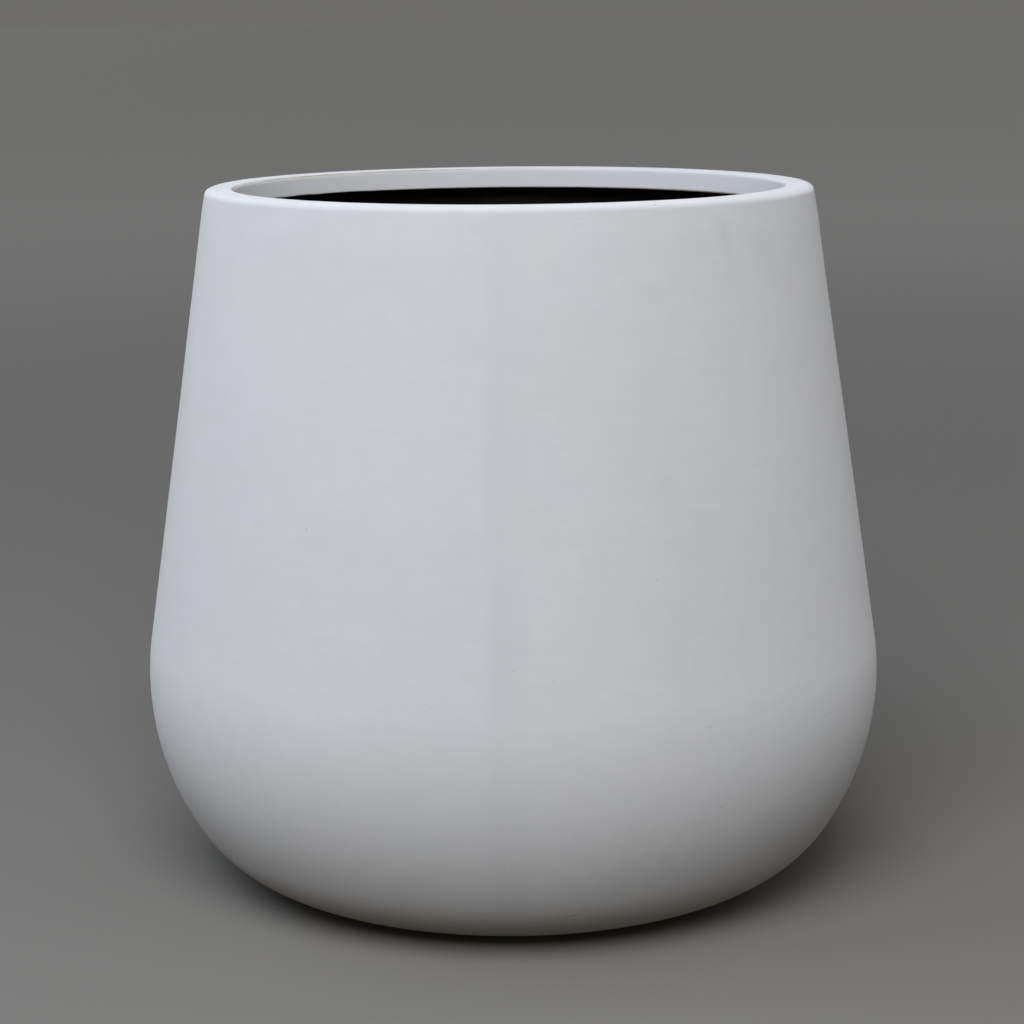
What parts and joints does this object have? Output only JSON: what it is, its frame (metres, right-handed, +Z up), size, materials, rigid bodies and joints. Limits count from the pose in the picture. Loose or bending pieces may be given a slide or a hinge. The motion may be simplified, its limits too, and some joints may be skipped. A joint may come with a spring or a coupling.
{
  "type": "floor planter",
  "caption": "Large round belly-shaped floor planter with a tapered wall, a turned-in rim with an inner lip, a dark sealed inside and a rubber bung in its drain hole.",
  "frame": {"origin": "centre of the foot, on the ground", "axes": "+Z up along the pot's axis, -Y towards the front seam that the picture shows, +X to the right in the picture"},
  "size_m": [0.8498, 0.85, 0.8],
  "materials": {
    "painted_composite": "matt off-white paint on fibre-reinforced stone composite, lightly sanded",
    "painted_filler": "sanded filler under the same matt paint, slightly greyer",
    "bare_laminate": "unpainted fibre laminate, grey and coarse",
    "dark_sealer": "brushed black waterproof coat",
    "black_rubber": "moulded black rubber"
  },
  "bodies": {
    "pot": {"right_half_shell": "painted_composite", "left_half_shell": "painted_composite", "front_seam_filler": "painted_filler", "rear_seam_filler": "painted_filler", "front_joint_strip": "bare_laminate", "rear_joint_strip": "bare_laminate", "rim_lip": "painted_composite", "foot_disc": "bare_laminate", "seal_coat": "dark_sealer"},
    "bung": {"drain_bung": "black_rubber"}
  },
  "joints": [
    {"name": "drain_bung_pull", "type": "slide", "parent": "pot", "child": "bung", "axis": [0, 0, 1], "range_m": [0, 0.06]}
  ]
}
